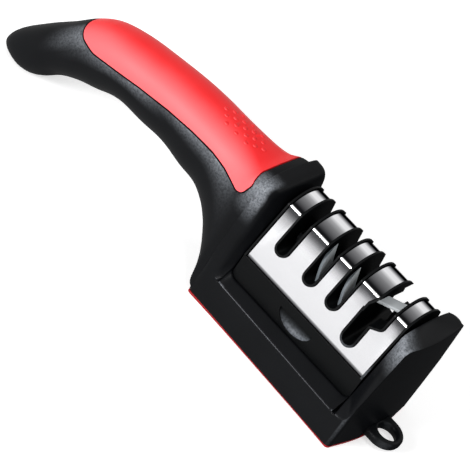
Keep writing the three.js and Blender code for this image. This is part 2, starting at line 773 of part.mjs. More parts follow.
// A scooped notch on each long side for lifting the cartridge out
function nailNotch(side) {
  const ball = new THREE.SphereGeometry(1, ballSteps, ballSteps / 2);
  ball.scale(notchWidth / 2, notchDepth, notchHeight);
  ball.translate(0, side * cartridgeHalf, seamHeight + notchLift + notchHeight);
  const keep = box(-notchWidth, notchWidth, -half, half, 0, seamHeight + notchLift + notchHeight);
  return solid(ball).intersect(keep);
}

function chromeCover() {
  const outer = prism('x', coverSection(0, bandTop + gap), chromeBack, chromeFront);
  const inner = prism('x', coverSection(sheet, bandTop - overrun), chromeBack - overrun,
    chromeFront + overrun);
  return [inner, ...slotCuts(lip + gap)].reduce((rest, cut) => rest.subtract(cut), outer);
}

function cartridgeBottomPlate() {
  const plate = box(hollowBack + gap, hollowFront - gap, gap - hollowHalf, hollowHalf - gap, cartridgeBottom,
    bottomTop);
  const holes = cartridgeScrews.flatMap(([x, y]) => [
    cylinder(x, y, 0, topOfAll, screwShank + gap * 2),
    cylinder(x, y, 0, cartridgeBottom + screwHeadHeight, screwHead + gap * 2),
  ]);
  return holes.reduce((rest, cut) => rest.subtract(cut), plate);
}

// The carrier fills the hollow between the screws and holds the stones up in their slots
function stoneCarrier() {
  const [a, b] = cartridgeScrews.map(([x]) => x);
  return box(a + bossDiameter / 2 + gap, b - bossDiameter / 2 - gap, gap - hollowHalf, hollowHalf - gap,
    bottomTop + gap, hollowTop - gap);
}

// Materials
const blackPlastic = { color: 0x1d1f22, roughness: 0.45, metalness: 0 };
const redRubber = { color: 0xe02c2f, roughness: 0.6, metalness: 0 };
const chrome = { color: 0xd8dadc, roughness: 0.12, metalness: 1 };
const steel = { color: 0x9a9ea2, roughness: 0.3, metalness: 1 };
const carbide = { color: 0x4a4d50, roughness: 0.35, metalness: 1 };
const diamond = { color: 0x8b8f93, roughness: 0.55, metalness: 0.6 };
const ceramic = { color: 0xc9ccce, roughness: 0.6, metalness: 0 };

function piece(name, body, look) {
  const mesh = new THREE.Mesh(geometryOf(body), new THREE.MeshStandardMaterial(look));
  mesh.name = name;
  return mesh;
}

const sharpener = new THREE.Group();
sharpener.name = 'sharpener';
sharpener.add(
  piece('housing', housing(), blackPlastic),
  piece('grip_cover', gripCover(), redRubber),
  piece('base_plate', basePlate(), blackPlastic),
  piece('foot_pad', footPad(), redRubber),
);
screwPlaces.forEach(([x, y], i) => {
  sharpener.add(piece(`base_screw_${i + 1}`, screw(x, y, rimBottom + gap), steel));
});

const cartridge = new THREE.Group();
cartridge.name = 'cartridge';
cartridge.add(
  piece('cartridge_core', cartridgeCore(), blackPlastic),
  piece('chrome_cover', chromeCover(), chrome),
  piece('cartridge_bottom', cartridgeBottomPlate(), blackPlastic),
  piece('stone_carrier', stoneCarrier(), blackPlastic),
  piece('scissor_plate', scissorPlate(), ceramic),
);
cartridgeScrews.forEach(([x, y], i) => {
  cartridge.add(piece(`cartridge_screw_${i + 1}`, screw(x, y, cartridgeBottom + gap), steel));
});
[[-1, 'front'], [1, 'rear']].forEach(([side, end]) => {
  cartridge.add(
    piece(`carbide_blade_${end}`, carbideBlade(side), carbide),
    piece(`diamond_plate_${end}`, abrasivePlate(1, side), diamond),
    piece(`ceramic_plate_${end}`, abrasivePlate(2, side), ceramic),
  );
});
sharpener.add(cartridge);

export default sharpener;
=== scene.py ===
# Looks for the knife and scissors sharpener: finer pieces, materials, lights and the camera.
# Sizes below are millimetres in the part's frame.
import math

import bmesh
import bpy
import numpy as np
from mathutils import Matrix, Vector
from mathutils.bvhtree import BVHTree


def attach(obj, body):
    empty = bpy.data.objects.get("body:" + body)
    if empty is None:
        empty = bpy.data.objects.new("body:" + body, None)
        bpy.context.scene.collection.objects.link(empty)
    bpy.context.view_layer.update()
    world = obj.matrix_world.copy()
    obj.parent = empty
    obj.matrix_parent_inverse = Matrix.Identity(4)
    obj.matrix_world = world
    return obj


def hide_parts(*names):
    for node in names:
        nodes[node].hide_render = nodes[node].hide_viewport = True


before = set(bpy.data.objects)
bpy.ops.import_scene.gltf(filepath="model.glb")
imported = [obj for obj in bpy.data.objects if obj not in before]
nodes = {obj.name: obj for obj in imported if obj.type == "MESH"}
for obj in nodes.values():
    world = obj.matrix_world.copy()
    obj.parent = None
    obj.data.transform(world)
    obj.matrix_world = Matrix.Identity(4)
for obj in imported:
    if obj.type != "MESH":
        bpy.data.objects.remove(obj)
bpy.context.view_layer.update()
MM = 0.001


# The main sizes of the part, which the finer pieces follow
head_length = 82.4
head_width = 50
handle_reach = 130.2
handle_height = 57.2
gap = 0.3
overrun = 2
foot_thickness = 1.3
foot_inset = 0.8
foot_spread = 0.6
slab_round = 0.3
plate_thickness = 2.4
rim_wall = 2.2
plate_gap = 0.3
corner_radius = 2.4
least_corner_share = 0.2
side_taper = 1.9
front_bulge = 2.6
back_bulge = 2.2
ridge_height = 14
ridge_flare = 0.4
ridge_round = 1.3
seam_height = 17.3
floor_height = 8.2
floor_thickness = 2.2
collar_top = 57.5
collar_top_width = 36.4
collar_reach = 3.6
collar_mouth_top = 50.5
collar_mouth_top_width = 26
collar_mouth_lean = 0.6
wall_top = 52.8
wall_top_width = 38
wall_mouth_top = 56
wall_mouth_top_width = 31
wall_mouth_arch = 1.6
wall_mouth_lean = 1.3
wall_ridge = 6.9
wall_overshoot = 1.8
wall_soft = 3.2
wall_swell = 1.3
wall_draft = 0.4
wall_bulge_share = 0.7
collar_corner = 3.6
collar_edge_corner = 4.68
collar_soft = 3.4
wall_corner = 3.4
top_corner = 5
mouth_corner = 3.6
loop_root = 6.6
collar_ridge_insets = (5.7, 5.5, 4.4, 4.7)
collar_turn = 2.9
wall_turn = 5.2
turn_height = 3.2
loop_reach = 14
loop_width = 16
loop_thickness = 4
loop_hole = 8
loop_hole_reach = 7.4
loop_height = 2.6
loop_end_share = 0.96
loop_round = 1.5
eye_flare = 1.6
eye_overrun = 0.6
cartridge_start = 9.2
cartridge_length = 65.5
cartridge_width = 37
cartridge_gap = 0.4
band_top = 28.4
fold_height = 53.7
fold_width = 20.6
fold_round = 1.6
fold_reach = 1.4
fold_inset_share = 0.4
arch_inset_share = 0.6
chrome_width = 36
arch_rise = 3.7
sheet = 0.8
lip = 0.85
lip_proud = 0.8
core_wall = 2.4
hollow_top = 28.9
notch_width = 17
notch_height = 6
notch_depth = 2.2
notch_lift = 1
slot_width = 4.9
slot_round_share = 0.49
slot_bottom = 38.1
slot_centres = (9.9, 25.2, 37.7)
scissor_slot_left = 48.6
scissor_slot_width = 5.5
scissor_slot_bottom = 33.1
scissor_round_share = 0.46
scissor_skew = math.radians(4)
scissor_pocket_width = 10
scissor_pocket_bottom = 34
scissor_mouth_left = 50.6
scissor_mouth_right = 58.4
scissor_step = 46.4
scissor_step_rise = 2.2
scissor_step_round = 1.275
scissor_roof = 49.6
screw_from_end = 9
screw_from_side = 8.5
screw_hole = 3.2
screw_head = 5.8
screw_sink = 1.4
screw_access = 7
groove_depth = 1.3
groove_pitch = 27
groove_shares = (0.2, 0.86)
groove_peak_share = 0.345
grip_width = 27.6
handle_wall = 2.6
cover_wall = 2.4
seam_gap = 0.6
tiny = 1e-3

back = -head_length / 2
front = head_length / 2
half = head_width / 2
rim_bottom = foot_thickness
ridge_half = half + ridge_flare
cartridge_back = back + cartridge_start
cartridge_front = cartridge_back + cartridge_length
cartridge_half = cartridge_width / 2
cartridge_bottom = floor_height + gap
pocket_back = cartridge_back - cartridge_gap
pocket_front = cartridge_front + cartridge_gap
pocket_half = cartridge_half + cartridge_gap
mouth_half = pocket_half + gap
top_of_all = handle_height + overrun
side_lean = (chrome_width - fold_width) / 2 / (fold_height - band_top)
chrome_back = cartridge_back + lip + gap
chrome_front = cartridge_front - lip - gap


# Outlines, lofts and cuts
def rounded(points, steps=8):
    """An outline of points [a, b, radius], with each such corner rounded in the same count of steps."""
    out = []
    count = len(points)
    for i, (a, b, *more) in enumerate(points):
        radius = more[0] if more else 0
        if not radius:
            out.append((a, b))
            continue
        here = np.array([a, b], float)
        u = np.array(points[i - 1][:2], float) - here
        v = np.array(points[(i + 1) % count][:2], float) - here
        u /= np.linalg.norm(u)
        v /= np.linalg.norm(v)
        angle = math.acos(max(-1.0, min(1.0, float(u @ v))))
        sweep = math.pi - angle
        if sweep < tiny:
            out += [(a, b)] * (steps + 1)
            continue
        centre = here + (u + v) / np.linalg.norm(u + v) * radius / math.sin(angle / 2)
        reach = radius / math.tan(angle / 2)
        first, last = here + u * reach - centre, here + v * reach - centre
        for k in range(steps + 1):
            t = k / steps
            turned = math.sin((1 - t) * sweep) * first + math.sin(t * sweep) * last
            out.append(tuple(centre + turned / math.sin(sweep)))
    return out


def grown(points, distance):
    """An outline whose sides all move out by one distance."""
    flat = np.array([p[:2] for p in points], float)
    following = np.roll(flat, -1, 0)
    area = np.sum(flat[:, 0] * following[:, 1] - flat[:, 1] * following[:, 0])
    along = following - flat
    normals = np.stack([along[:, 1], -along[:, 0]], 1) / np.linalg.norm(along, axis=1)[:, None]
    normals *= np.sign(area)
    before = np.roll(normals, 1, 0)
    scale = distance / (1 + np.sum(normals * before, 1))
    moved = flat + (normals + before) * scale[:, None]
    radii = [p[2] if len(p) > 2 else 0 for p in points]
    return [(a, b, max(r + distance, 0) if r else 0) for (a, b), r in zip(moved, radii)]


def piece(name, points, faces):
    mesh = bpy.data.meshes.new(name)
    mesh.from_pydata([tuple(p) for p in np.array(points, float) * MM], [], faces)
    made = bpy.data.objects.new(name, mesh)
    bpy.context.scene.collection.objects.link(made)
    return made


def loft(name, rings):
    """A closed body through rings of points, capped at both ends, with its faces turned out."""
    rings = [np.array(ring, float) for ring in rings]
    count = len(rings[0])
    points = np.concatenate(rings + [rings[0].mean(0)[None], rings[-1].mean(0)[None]])
    faces = []
    for r in range(len(rings) - 1):
        for i in range(count):
            a, b = r * count + i, r * count + (i + 1) % count
            faces.append((a, b, b + count, a + count))
    first, last = len(points) - 2, len(points) - 1
    end = (len(rings) - 1) * count
    for i in range(count):
        j = (i + 1) % count
        faces.append((first, j, i))
        faces.append((last, end + i, end + j))
    made = piece(name, points, faces)
    tidy = bmesh.new()
    tidy.from_mesh(made.data)
    bmesh.ops.remove_doubles(tidy, verts=tidy.verts, dist=1e-7)
    bmesh.ops.recalc_face_normals(tidy, faces=tidy.faces)
    if tidy.calc_volume(signed=True) < 0:
        bmesh.ops.reverse_faces(tidy, faces=tidy.faces)
    tidy.to_mesh(made.data)
    tidy.free()
    return made


def prism(name, axis, outline, low, high):
    order = {"x": (2, 0, 1), "y": (0, 2, 1), "z": (0, 1, 2)}[axis]
    rings = []
    for place in (low, high):
        ring = np.array([(a, b, place) for a, b in outline], float)
        rings.append(ring[:, order])
    return loft(name, rings)


def block(name, x0, x1, y0, y1, z0, z1):
    return prism(name, "z", [(x0, y0), (x1, y0), (x1, y1), (x0, y1)], z0, z1)


def circle(x, y, radius, sides):
    angles = np.linspace(0, 2 * math.pi, sides, endpoint=False)
    return [(x + radius * math.cos(a), y + radius * math.sin(a)) for a in angles]


def rod(name, x, y, z0, z1, diameter, sides=48):
    return prism(name, "z", circle(x, y, diameter / 2, sides), z0, z1)


def combine(target, others, operation):
    for other in others:
        step = target.modifiers.new("step", "BOOLEAN")
        step.operation = operation
        step.solver = "MANIFOLD"
        step.object = other
    depsgraph = bpy.context.evaluated_depsgraph_get()
    mesh = bpy.data.meshes.new_from_object(target.evaluated_get(depsgraph))
    target.modifiers.clear()
    target.data = mesh
    for other in others:
        bpy.data.objects.remove(other)
    return target


def join(target, *others):
    return combine(target, others, "UNION")


def cut(target, *others):
    return combine(target, others, "DIFFERENCE")


def keep(target, *others):
    return combine(target, others, "INTERSECT")


def soften(before, here, after, reach, steps=8, most=0.45, least=1e-6):
    """Three rings with the middle one replaced by a small curve, for a rounded edge in the loft."""
    before, here, after = (np.array(r, float) for r in (before, here, after))

    def towards(other):
        away = np.maximum(np.linalg.norm(other - here, axis=1), least)
        return here + (other - here) * np.minimum(reach / away, most)[:, None]

    first, last = towards(before), towards(after)
    curve = []
    for k in range(steps + 1):
        t = k / steps
        curve.append((1 - t) ** 2 * first + 2 * t * (1 - t) * here + t * t * last)
    return [before, *curve, after]


def mirrored(outline):
    return list(outline) + [(-a, b) for a, b in reversed(outline)]


# The head: its plan, and the sections of the collar, the end wall and the low sides
def tapered(x, y):
    """The head's taper: its outer sides stand wider towards the loop, and its pocket stays straight."""
    share = np.clip((np.abs(y) - mouth_half) / (half - mouth_half), 0, 1)
    return y + np.sign(y) * share * side_taper * x / front


def plan(inset, steps=24, bend=8):
    """The head from above: two bowed ends, straight sides and round corners, drawn in by an inset."""
    corner = max(corner_radius - inset, least_corner_share * corner_radius)
    side = half - inset
    low, high = back + inset, front - inset
    points = []

    def bow(x, bulge, start, end):
        for k in range(steps + 1):
            t = start + (end - start) * k / steps
            points.append((x + bulge * (1 - t * t), t * (side - corner)))

    def turn(x, y, start):
        for k in range(1, bend):
            angle = start + math.pi / 2 * k / bend
            points.append((x + corner * math.cos(angle), y + corner * math.sin(angle)))

    bow(high, front_bulge, -1, 1)
    turn(high - corner, side - corner, 0)
    points.extend([(high - corner, side), (low + corner, side)])
    turn(low + corner, side - corner, math.pi / 2)
    bow(low, -back_bulge, 1, -1)
    turn(low + corner, corner - side, math.pi)
    points.extend([(low + corner, -side), (high - corner, -side)])
    turn(high - corner, corner - side, -math.pi / 2)
    return [(x, tapered(x, y)) for x, y in points]


# Where a section takes its points as the ridge turns, closest where it turns most
turn_shares = (0, 0.02, 0.05, 0.1, 0.17, 0.26, 0.37, 0.5, 0.64, 0.8)


def end_section(low_half, low, top, top_width, corner, arch=0.0, rows=9, bends=8, spans=6):
    """One side up from the rim, a rounded corner and a flat or arched top, and the same mirrored."""
    lean = (low_half - top_width / 2) / (top - low)

    def side_at(z):
        return low_half - lean * (z - low)

    under = top - arch - corner
    heights = [low + share * turn_height for share in turn_shares]
    heights += list(np.linspace(low + turn_height, under, rows))
    side = [(half, rim_bottom), *[(side_at(z), z) for z in heights]]
    start = side_at(under)
    for k in range(1, bends + 1):
        angle = math.pi / 2 * k / bends
        side.append((start - corner * (1 - math.cos(angle)), under + corner * math.sin(angle)))
    flat = start - corner
    for k in range(1, spans + 1):
        t = 1 - k / spans
        side.append((flat * t, top - arch * t * t))
    return side[:-1] + [(0.0, top)] + [(-a, b) for a, b in reversed(side[:-1])]


collar_section = end_section(ridge_half, ridge_height, collar_top, collar_top_width, collar_corner)
collar_edge = end_section(ridge_half, ridge_height, collar_top, collar_top_width, collar_edge_corner)
collar_mouth = end_section(
    mouth_half, seam_height + mouth_corner, collar_mouth_top, collar_mouth_top_width, top_corner)
wall_section = end_section(ridge_half, ridge_height, wall_top, wall_top_width, wall_corner)
wall_mouth = end_section(
    mouth_half, seam_height + mouth_corner, wall_mouth_top, wall_mouth_top_width, top_corner / 2,
    wall_mouth_arch)


def lean_ring(outline, x_at):
    return [(x_at(z), y, z) for y, z in outline]


def ridge_turn(z, length):
    """How far the ridge of an end bends in towards the pocket as it comes down to the sides' ridge."""
    share = min(max(1 - (z - ridge_height) / turn_height, 0.0), 1.0)
    return length * (1 - math.sqrt(1 - share * share))


def collar_ridge(z):
    inset = np.interp(z, (ridge_height, seam_height, band_top, collar_top), collar_ridge_insets)
    return float(inset) + ridge_turn(z, collar_turn)


def low_ring(x, rise, steps=5):
    side = rounded([
        (half, rim_bottom), (ridge_half, ridge_height, ridge_round), (pocket_half, seam_height + rise),
    ], steps)
    return [(x, y, z) for y, z in mirrored(side)]


def low_sides(steps=10):
    turns = [math.pi / 2 * k / steps for k in range(steps + 1)]
    rings = [(mouth_corner * (1 - math.sin(a)), mouth_corner * (1 - math.cos(a))) for a in turns]
    return loft("low_sides", [
        *[low_ring(pocket_back + along, rise) for along, rise in reversed(rings)],
        *[low_ring(pocket_front - along, rise) for along, rise in rings],
    ])


def climb(z):
    """Nought at the seam round the pocket, one at the top of the end wall's mouth."""
    return min(max((z - seam_height) / (wall_mouth_top - seam_height), 0.0), 1.0)


def wall_rings(steps=6):
    """The end wall, from the pocket's mouth out over its ridge to past the outer face."""
    mouth = np.array(lean_ring(wall_mouth, lambda z: pocket_front + wall_mouth_lean * climb(z)))
    ridge = np.array(lean_ring(
        wall_section, lambda z: pocket_front + wall_ridge - ridge_turn(z, wall_turn)))
    swell = np.array([wall_swell * climb(z) for z in mouth[:, 2]])
    turned = np.array([ridge_turn(z, 1) for z in ridge[:, 2]])[:, None]
    between = []
    for k in range(1, steps):
        t = k / steps
        ring = mouth + (ridge - mouth) * t
        ring[:, 1] += np.sign(ring[:, 1]) * swell * 4 * t * (1 - t)
        between.append(ring)
    straight = ridge.copy()
    straight[:, 0] = pocket_front + wall_ridge * wall_overshoot
    beyond = (mouth + (ridge - mouth) * wall_overshoot) * (1 - turned) + straight * turned
    return [mouth, *between[:-1], *soften(between[-1], ridge, beyond, wall_soft)]


def collar_rings():
    return soften(
        lean_ring(collar_section, lambda z: back - collar_reach * smoothstep(z, band_top, wall_top)),
        lean_ring(collar_edge, lambda z: back + collar_ridge(z)),
        lean_ring(collar_mouth, lambda z: pocket_back - collar_mouth_lean * climb(z)),
        collar_soft)


def outer_ring(z, t):
    """The plan of the head at one height, drawn in a little more with t, from nought to one."""
    draft, bulge = wall_draft * t, 1 + (wall_bulge_share - 1) * t
    ring = []
    for x, y in plan(0):
        if x > front:
            x = front + (x - front) * bulge - draft
        elif x > 0:
            x -= draft
        ring.append((x, y, z))
    return ring


def cradle(levels=9):
    body = join(loft("wall", wall_rings()), loft("collar", collar_rings()), low_sides())
    for corner in body.data.vertices:
        corner.co.y = tapered(corner.co.x / MM, corner.co.y / MM) * MM
    outer = loft("outer", [outer_ring(rim_bottom, 0)] + [
        outer_ring(ridge_height + (top_of_all - ridge_height) * t, t) for t in np.linspace(0, 1, levels)])
    return join(keep(body, outer), prism("skirt", "z", plan(0), rim_bottom, ridge_height))


# The handle, from ribs that run from the head to its tip. Each rib: the place of its foot along and up,
# the place of its top along and up, its width and how square it is
rib_shares = np.array([
    (-0.0199, 0.028, -0.0269, 0.982, 1.66, 1), (0.008, 0.067, 0.006, 0.988, 1.66, 1),
    (0.0278, 0.179, 0.0418, 0.98, 1.6, 0.92), (0.0726, 0.252, 0.0746, 0.962, 1.42, 0.6),
    (0.1154, 0.321, 0.1144, 0.966, 1.25, 0.35), (0.1611, 0.382, 0.1611, 0.973, 1.12, 0.15),
    (0.2188, 0.427, 0.2188, 0.976, 1.04, 0), (0.3083, 0.432, 0.3133, 0.972, 1.015, 0),
    (0.4078, 0.455, 0.4167, 0.951, 0.99, 0), (0.4973, 0.44, 0.5262, 0.912, 0.97, 0),
    (0.5709, 0.406, 0.6326, 0.864, 0.955, 0), (0.6296, 0.36, 0.7241, 0.794, 0.93, 0),
    (0.6803, 0.312, 0.7867, 0.688, 0.88, 0), (0.7291, 0.239, 0.8434, 0.54, 0.83, 0),
    (0.7768, 0.154, 0.8962, 0.412, 0.79, 0), (0.8186, 0.078, 0.9389, 0.3, 0.75, 0),
    (0.8524, 0.026, 0.9698, 0.215, 0.69, 0), (0.8842, 0.002, 0.9887, 0.146, 0.6, 0),
    (0.9151, 0, 0.9976, 0.088, 0.46, 0), (0.9449, 0.004, 0.9996, 0.046, 0.26, 0),
])


def rib_at(t):
    """The ribs' values at one share of the way, on a smooth curve through the ribs."""
    last = len(rib_shares) - 1
    place = t * last
    i = min(int(place), last - 1)
    p, q, r, s = (rib_shares[min(max(k, 0), last)] for k in (i - 1, i, i + 1, i + 2))
    m, n = (r - p) / 2, (s - q) / 2
    f = place - i
    return ((2 * f ** 3 - 3 * f ** 2 + 1) * q + (f ** 3 - 2 * f ** 2 + f) * m
            + (3 * f ** 2 - 2 * f ** 3) * r + (f ** 3 - f ** 2) * n)


def smoothstep(x, low, high):
    t = min(max((x - low) / (high - low), 0.0), 1.0)
    return t * t * (3 - 2 * t)


def groove_at(x):
    start, end = (share * handle_reach for share in groove_shares)
    fade = smoothstep(x, start, start + groove_pitch / 2) * (1 - smoothstep(x, end - groove_pitch / 2, end))
    wave = 1 + math.cos(2 * math.pi * (x - groove_peak_share * handle_reach) / groove_pitch)
    return groove_depth * fade * wave / 2


rib_power = 2.3
crown_start = 0.9
crown_span = 0.1
crown_low = 0.68
crown_rise = 0.32


def rib_ring(t, wall, sides):
    """A section of the handle: a soft oval that turns square, with a rounded crown, towards the head."""
    ux, uz, tx, tz, width, square = rib_at(t)
    under = np.array([back - ux * handle_reach, 0, max(uz, 0) * handle_height])
    top = np.array([back - tx * handle_reach, 0, tz * handle_height])
    rise = (top - under) / np.linalg.norm(top - under)
    under = under + rise * (wall + groove_at(ux * handle_reach))
    top = top - rise * wall
    half_width = width * grip_width / 2 - wall
    top_ratio = collar_top_width / head_width
    right = []
    for k in range(sides + 1):
        u = (1 - math.cos(math.pi * k / sides)) / 2
        round_share = max(1 - abs(2 * u - 1) ** rib_power, 0) ** (1 / rib_power)
        past = max((u - crown_start) / crown_span, 0)
        crown = crown_low + crown_rise * math.sqrt(max(1 - past ** 2, 0))
        straight = 0 if k in (0, sides) else (1 + (top_ratio - 1) * u) * crown
        place = under + (top - under) * u
        place[1] = half_width * (square * straight + (1 - square) * round_share)
        right.append(place)
    return right + [np.array([p[0], -p[1], p[2]]) for p in reversed(right[1:-1])]


def handle(name, wall=0.0, start=0.0, end=1.0, rings=150, sides=24):
    return loft(name, [rib_ring(start + (end - start) * k / rings, wall, sides) for k in range(rings + 1)])


def handle_hollow(name, wall, start, end=0.8, rings=60, sides=12):
    return handle(name, wall, start, end, rings, sides)


# The lower edge of the cover, from near the handle's tip to the head: the place along and up, and the
# radius where the edge turns
seam_shares = (
    (0.862, 0.9), (0.818, 0.74, 0.04), (0.762, 0.636, 0.07), (0.69, 0.632, 0.06), (0.62, 0.668),
    (0.5, 0.728), (0.385, 0.775), (0.29, 0.798), (0.2, 0.806), (0.14, 0.797), (0.1, 0.782),
    (0.046, 0.764, 0.034), (0.03, 0.9, 0.03), (0.044, 0.985), (0.046, 1.1),
)


def cover_zone(inset, steps=12):
    """The zone of the handle that the cover takes, with its outline drawn in by an inset."""
    scaled = [(back - along * handle_reach, up * handle_height, sum(radius) * handle_reach)
              for along, up, *radius in seam_shares]
    above = handle_height + overrun
    zone = [(scaled[0][0], above), *scaled[:-1], (scaled[-1][0], above)]
    return prism("zone", "y", rounded(grown(zone, -inset), steps), -half, half)


# The black housing, with its handle, and the red cover on the handle, with an open seam between them
hollow_start = 0.2
cover_hollow_start = 0.06


def housing():
    body = join(cradle(), handle("handle"))
    pocket = block("pocket", pocket_back, pocket_front, -pocket_half, pocket_half, floor_height,
                   top_of_all + overrun)
    low = rim_bottom - overrun
    under = prism("under", "z", plan(rim_wall), low, floor_height - floor_thickness)
    way = prism("way", "z", loop_plan(plate_gap), low, loop_height + loop_thickness + gap)
    hollow = handle_hollow("hollow", handle_wall, hollow_start)
    return cut(body, cover_zone(0), hollow, pocket, under, way)


def cover():
    body = keep(handle("grip_shell"), cover_zone(seam_gap))
    shell = cut(body, handle_hollow("cover_hollow", cover_wall, cover_hollow_start))
    return join(shell, *dots(shell))


# Small raised dots on the cover's top, in staggered rows near the head
dot_size = 0.95
dot_rise = 0.28
dot_start = -36.3
dot_middle = -0.8
dot_step = 2.7
dot_pitch = 5
dot_counts = (1, 2, 3, 2, 3, 2, 3, 2, 1)


def dot(x, y, z, rings=8, sides=20):
    """A flat ball about one place."""
    layers = []
    for r in range(rings + 1):
        lift = math.pi * (r / rings - 0.5)
        wide, height = max(dot_size * math.cos(lift), tiny), z + dot_rise * math.sin(lift)
        layers.append([(a, b, height) for a, b in circle(x, y, wide, sides)])
    return loft("dot", layers)


def dots(target):
    """Flat balls sunk by half into the target's top surface."""
    shape = bmesh.new()
    shape.from_mesh(target.data)
    surface = BVHTree.FromBMesh(shape)
    shape.free()
    made = []
    for row, count in enumerate(dot_counts):
        for k in range(count):
            x, y = back + dot_start + row * dot_step, dot_middle + (k - (count - 1) / 2) * dot_pitch
            spot = surface.ray_cast(Vector((x, y, top_of_all)) * MM, Vector((0, 0, -1)))[0]
            if spot is not None:
                made.append(dot(x, y, spot.z / MM))
    return made


# The red foot pad and the base plate with its hanging loop, with rounded edges
screw_places = [
    (sx * (front - screw_from_end), sy * (half - screw_from_side)) for sx in (-1, 1) for sy in (-1, 1)]


def slab(name, outline_at, low, high, radius, steps=4):
    """A flat body between two heights whose edges are rounded; outline_at gives its outline drawn in."""
    turns = [math.pi / 2 * k / steps for k in range(steps + 1)]
    levels = [(low + radius * (1 - math.sin(a)), radius * (1 - math.cos(a))) for a in reversed(turns)]
    levels += [(high - radius * (1 - math.sin(a)), radius * (1 - math.cos(a))) for a in turns]
    return loft(name, [[(x, y, z) for x, y in outline_at(inset)] for z, inset in levels])


def foot_plan(inset, steps=16):
    """The pad's outline, farther out towards its ends, where more of its red shows."""
    corners = plan(foot_inset + inset)
    spread = []
    for here, after in zip(corners, corners[1:] + corners[:1]):
        pieces = steps if abs(after[0] - here[0]) > front else 1
        for k in range(pieces):
            x, y = (a + (b - a) * k / pieces for a, b in zip(here, after))
            out = foot_spread * min(abs(x) / front, 1) ** 3
            spread.append((x + math.copysign(out, x), y + math.copysign(min(out, abs(y)), y)))
    return spread


def foot():
    pad = slab("pad", foot_plan, 0, rim_bottom - gap, slab_round)
    return cut(pad, *[rod("access", x, y, -overrun, top_of_all, screw_access) for x, y in screw_places])


def loop_plan(grow, steps=16):
    outer = front + loop_reach + grow
    side = loop_width / 2 + grow
    radius = side * loop_end_share
    return rounded([
        (front - loop_root, -side), (outer, -side, radius), (outer, side, radius),
        (front - loop_root, side),
    ], steps)


def eye_half(z, steps=8, sides=56):
    """Half of the loop's eye, from the middle of the loop to one height, with a flared end."""
    middle = loop_height + loop_thickness / 2
    rings = []
    for t in np.linspace(0, 1, steps + 1):
        outline = circle(front + loop_hole_reach, 0, loop_hole / 2 + eye_flare * t ** 3, sides)
        rings.append([(x, y, middle + (z - middle) * t) for x, y in outline])
    return loft("eye", rings)


def base():
    low, high = loop_height, loop_height + loop_thickness
    plate = slab("plate", lambda inset: plan(rim_wall + plate_gap + inset), rim_bottom,
                 rim_bottom + plate_thickness, slab_round)
    tongue = slab("tongue", lambda inset: loop_plan(-inset), low, high, loop_round, steps=8)
    step = block("step", front - loop_root, front - rim_wall - plate_gap, -loop_width / 2, loop_width / 2,
                 rim_bottom, high)
    holes = [eye_half(low - eye_overrun), eye_half(high + eye_overrun)]
    for x, y in screw_places:
        holes.append(rod("way", x, y, 0, top_of_all, screw_hole))
        holes.append(rod("sink", x, y, 0, rim_bottom + screw_sink, screw_head))
    return cut(join(plate, step, tongue), *holes)


# The cartridge: the folded cover's section, the slots, the black core and the bright sheet
def cover_section(inset, low, steps=28):
    fold_half = fold_width / 2 - inset
    fold = fold_height - inset * fold_inset_share
    rise = arch_rise - inset * arch_inset_share
    arch = []
    for k in range(steps + 1):
        y = (fold_half - fold_reach) * (1 - 2 * k / steps)
        arch.append((y, fold + rise * (1 - (y / fold_half) ** 2)))
    side = fold_half + side_lean * (fold - low)
    return rounded([
        (side, low), (fold_half, fold, fold_round), *arch, (-fold_half, fold, fold_round), (-side, low),
    ])


def scissor_mouth_outline():
    left, step = cartridge_back + scissor_slot_left, scissor_step - scissor_step_rise
    mouth_left, mouth_right = cartridge_back + scissor_mouth_left, cartridge_back + scissor_mouth_right
    return [
        (mouth_left, top_of_all), (mouth_left, fold_height), (left, scissor_roof, lip), (left, step),
        (left + scissor_slot_width, step), (mouth_right, scissor_step, scissor_step_round),
        (mouth_right, top_of_all),
    ]


def upright_slot(left, right, top, bottom, radius):
    return [(left, top), (left, bottom, radius), (right, bottom, radius), (right, top)]


def scissor_slot_outline():
    left = cartridge_back + scissor_slot_left
    return upright_slot(left, left + scissor_slot_width, scissor_step, scissor_slot_bottom,
                        scissor_slot_width * scissor_round_share)


def slot_outline(centre):
    left, right = (cartridge_back + centre + s * slot_width / 2 for s in (-1, 1))
    return upright_slot(left, right, top_of_all, slot_bottom, slot_width * slot_round_share)


def slot_cut(outline, grow, steps=10):
    wide = [(a, top_of_all + overrun if b >= top_of_all else b, r) for a, b, r in grown(outline, grow)]
    return prism("slot", "y", rounded(wide, steps), -half, half)


def skewed(body):
    """The scissor slot leans a little along the cartridge, from its near side to its far side."""
    k = math.tan(scissor_skew)
    turn = Matrix(((1, -k, 0, -k * chrome_width / 2 * MM), (0, 1, 0, 0), (0, 0, 1, 0), (0, 0, 0, 1)))
    body.data.transform(turn)
    return body


def slot_cuts(grow):
    return [
        *[slot_cut(slot_outline(centre), grow) for centre in slot_centres],
        slot_cut(scissor_mouth_outline(), grow),
        skewed(slot_cut(scissor_slot_outline(), grow)),
    ]


def notch(side, steps=64, rings=16):
    """A scoop under a half ball, from its deepest ring down to a point at its foot."""
    middle = seam_height + notch_lift + notch_height
    body = []
    for r in range(rings + 1):
        angle = math.pi / 2 * (1 - r / rings)
        wide, low = max(math.sin(angle), tiny), math.cos(angle)
        turns = [2 * math.pi * k / steps for k in range(steps)]
        body.append([(notch_width / 2 * wide * math.cos(t),
                      side * cartridge_half + notch_depth * wide * math.sin(t),
                      middle - notch_height * low) for t in turns])
    return loft("notch", body)


